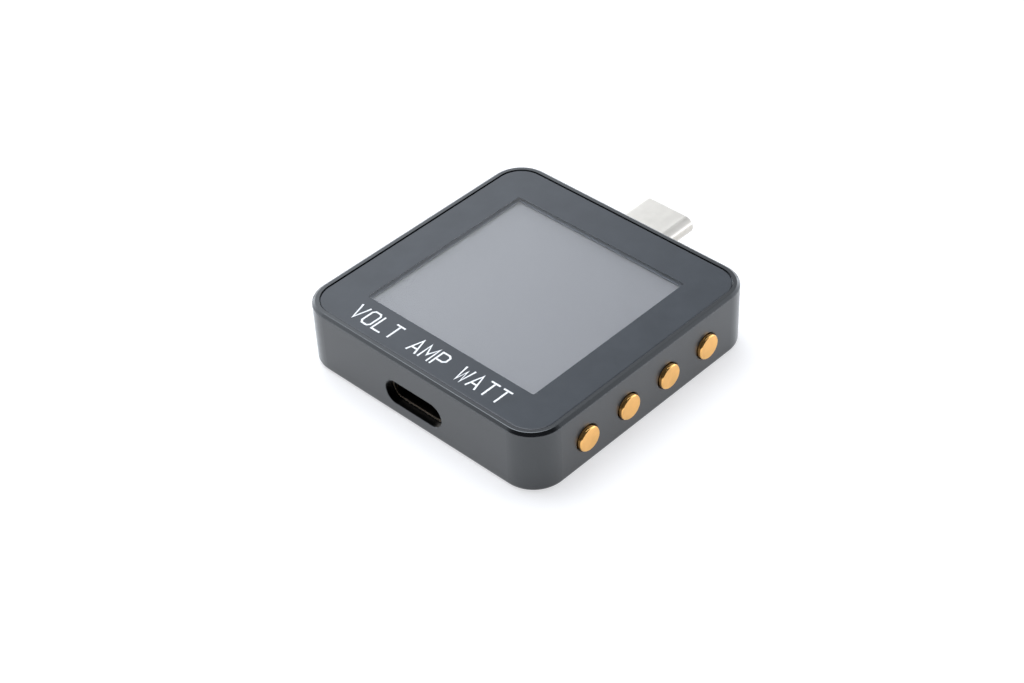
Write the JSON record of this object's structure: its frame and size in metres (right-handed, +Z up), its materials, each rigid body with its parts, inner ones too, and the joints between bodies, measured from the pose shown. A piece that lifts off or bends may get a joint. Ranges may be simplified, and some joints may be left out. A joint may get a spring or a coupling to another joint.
{
  "type": "usb power meter",
  "caption": "Square pocket power meter with a glass-fronted display, a USB-C socket, a USB-C plug and sprung side buttons.",
  "frame": {"origin": "centre of the case's flat underside", "axes": "+Z up, out of the display; +Y from the socket end to the plug end; +X out of the side that carries the buttons"},
  "size_m": [0.039, 0.0454, 0.0087],
  "materials": {
    "anodised_case": "dark grey anodised, fine matte",
    "anodised_cover": "dark grey anodised, fine matte",
    "screw_steel": "blackened",
    "clear_glass": "polished",
    "border_ink": "printed black",
    "adhesive_tape": "black adhesive",
    "polariser_film": "grey film",
    "cell_glass": "polished",
    "driver_silicon": "polished silicon",
    "guide_acrylic": "clear acrylic",
    "reflector_film": "white film",
    "led_package": "moulded with yellow phosphor",
    "tray_plastic": "white moulded",
    "flex_polyimide": "amber polyimide",
    "foam_rubber": "closed-cell foam",
    "insulation_film": "black polyester film",
    "board_laminate": "green solder mask",
    "chip_epoxy": "black moulded epoxy",
    "shunt_metal": "bare resistive alloy",
    "crystal_can": "nickel plated",
    "ferrite": "pressed ferrite",
    "capacitor_ceramic": "tan ceramic",
    "resistor_film": "black film on ceramic",
    "connector_plastic": "ivory moulded",
    "switch_plastic": "black moulded",
    "spring_steel": "stainless",
    "plunger_plastic": "white moulded",
    "shell_nickel": "nickel plated satin",
    "insulator_plastic": "black moulded",
    "contact_gold": "gold plated",
    "anodised_gold": "orange gold anodised, satin"
  },
  "bodies": {
    "case": {"housing": "anodised_case", "bottom_cover": "anodised_cover", "cover_screws": "screw_steel", "insulation_sheet": "insulation_film", "cover_glass": "clear_glass", "glass_print": "border_ink", "glass_tape": "adhesive_tape", "display_tape": "adhesive_tape", "display_polariser": "polariser_film", "lcd_cell": "cell_glass", "display_driver": "driver_silicon", "backlight_guide": "guide_acrylic", "backlight_reflector": "reflector_film", "backlight_leds": "led_package", "display_frame": "tray_plastic", "display_flex": "flex_polyimide", "display_foam": "foam_rubber", "main_board": "board_laminate", "board_screws": "screw_steel", "flex_connector": "connector_plastic", "controller_chip": "chip_epoxy", "meter_chip": "chip_epoxy", "protocol_chip": "chip_epoxy", "memory_chip": "chip_epoxy", "shunt_resistor": "shunt_metal", "crystal": "crystal_can", "inductor": "ferrite", "regulator": "chip_epoxy", "capacitors": "capacitor_ceramic", "resistors": "resistor_film", "switch_bodies": "switch_plastic", "switch_covers": "spring_steel", "socket_shell": "shell_nickel", "socket_insulator": "insulator_plastic", "socket_contacts": "contact_gold", "plug_shell": "shell_nickel", "plug_insulator": "insulator_plastic", "plug_contacts": "contact_gold", "plug_latch": "spring_steel", "switch_dome_1": "spring_steel", "switch_dome_2": "spring_steel", "switch_dome_3": "spring_steel", "switch_dome_4": "spring_steel"},
    "button_1": {"button_cap_1": "anodised_gold", "switch_plunger_1": "plunger_plastic"},
    "button_2": {"button_cap_2": "anodised_gold", "switch_plunger_2": "plunger_plastic"},
    "button_3": {"button_cap_3": "anodised_gold", "switch_plunger_3": "plunger_plastic"},
    "button_4": {"button_cap_4": "anodised_gold", "switch_plunger_4": "plunger_plastic"}
  },
  "joints": [
    {"name": "button_1_press", "type": "slide", "parent": "case", "child": "button_1", "axis": [-1, 0, 0], "range_m": [0, 0.00025], "stiffness_N_per_m": 4000, "deforming": ["switch_dome_1"]},
    {"name": "button_2_press", "type": "slide", "parent": "case", "child": "button_2", "axis": [-1, 0, 0], "range_m": [0, 0.00025], "stiffness_N_per_m": 4000, "deforming": ["switch_dome_2"]},
    {"name": "button_3_press", "type": "slide", "parent": "case", "child": "button_3", "axis": [-1, 0, 0], "range_m": [0, 0.00025], "stiffness_N_per_m": 4000, "deforming": ["switch_dome_3"]},
    {"name": "button_4_press", "type": "slide", "parent": "case", "child": "button_4", "axis": [-1, 0, 0], "range_m": [0, 0.00025], "stiffness_N_per_m": 4000, "deforming": ["switch_dome_4"]}
  ]
}
